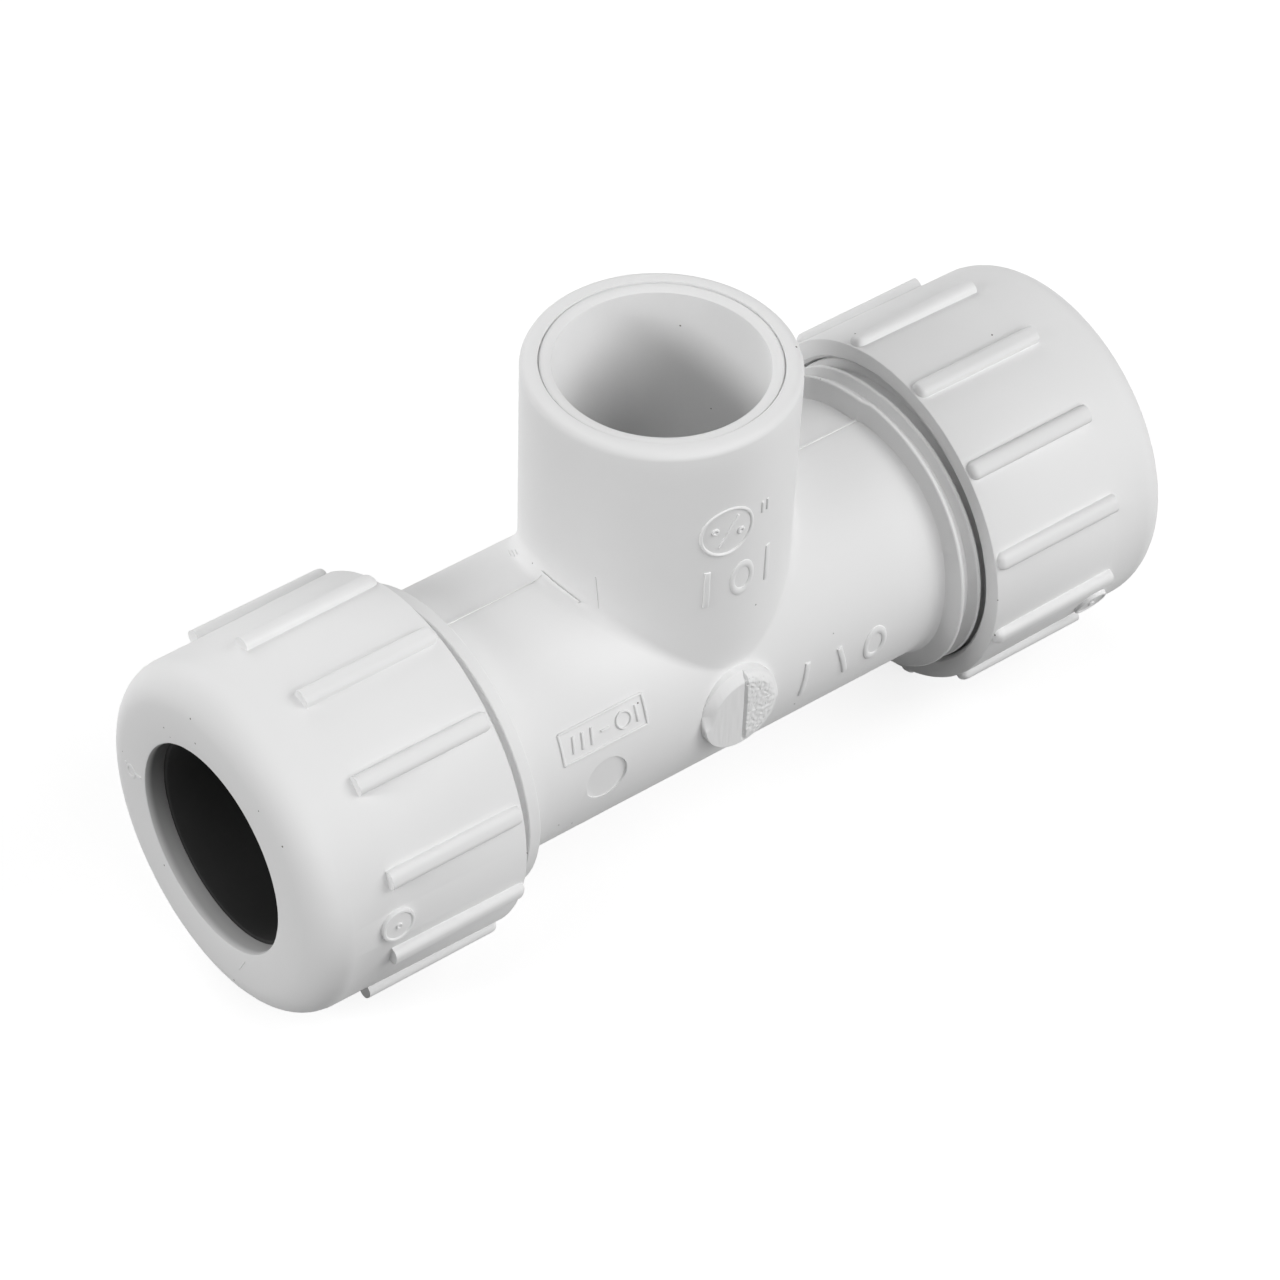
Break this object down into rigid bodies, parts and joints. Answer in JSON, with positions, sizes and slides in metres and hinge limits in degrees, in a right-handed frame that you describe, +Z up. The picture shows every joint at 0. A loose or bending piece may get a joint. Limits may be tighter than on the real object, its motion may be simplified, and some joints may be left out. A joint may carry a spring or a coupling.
{
  "type": "compression tee",
  "caption": "White plastic pipe tee: threaded run ends with ribbed compression nuts over rubber gaskets, and a plain slip socket on the branch.",
  "frame": {"origin": "on the surface that the nuts stand on, under the crossing of the run and branch axes, in the middle of the part's footprint", "axes": "+X along the run towards the right nut, +Z up along the branch, the moulded marks on the -Y side"},
  "size_m": [0.135, 0.0488, 0.0685],
  "materials": {
    "white_pvc": "satin moulded",
    "white_nut_pvc": "satin moulded",
    "black_rubber": "matt"
  },
  "bodies": {
    "body": {"tee_body": "white_pvc"},
    "left_gasket": {"left_gasket": "black_rubber"},
    "left_nut": {"left_nut": "white_nut_pvc"},
    "right_gasket": {"right_gasket": "black_rubber"},
    "right_nut": {"right_nut": "white_nut_pvc"}
  },
  "joints": [
    {"name": "left_gasket_slide", "type": "slide", "parent": "body", "child": "left_gasket", "axis": [-1, 0, 0], "range_m": [-0.00135, 0.017]},
    {"name": "left_nut_turn", "type": "hinge", "parent": "left_gasket", "child": "left_nut", "pos_m": [-0.0524, 0, 0.02438], "axis": [-1, 0, 0], "range_deg": [-172, 2160]},
    {"name": "right_gasket_slide", "type": "slide", "parent": "body", "child": "right_gasket", "axis": [1, 0, 0], "range_m": [-0.00135, 0.017]},
    {"name": "right_nut_turn", "type": "hinge", "parent": "right_gasket", "child": "right_nut", "pos_m": [0.0524, 0, 0.02438], "axis": [1, 0, 0], "range_deg": [-172, 2160]}
  ],
  "couplings": [
    {"joint": "left_gasket_slide", "follows": "left_nut_turn", "m_per_rad": 0.00044882},
    {"joint": "right_gasket_slide", "follows": "right_nut_turn", "m_per_rad": 0.00044882}
  ]
}
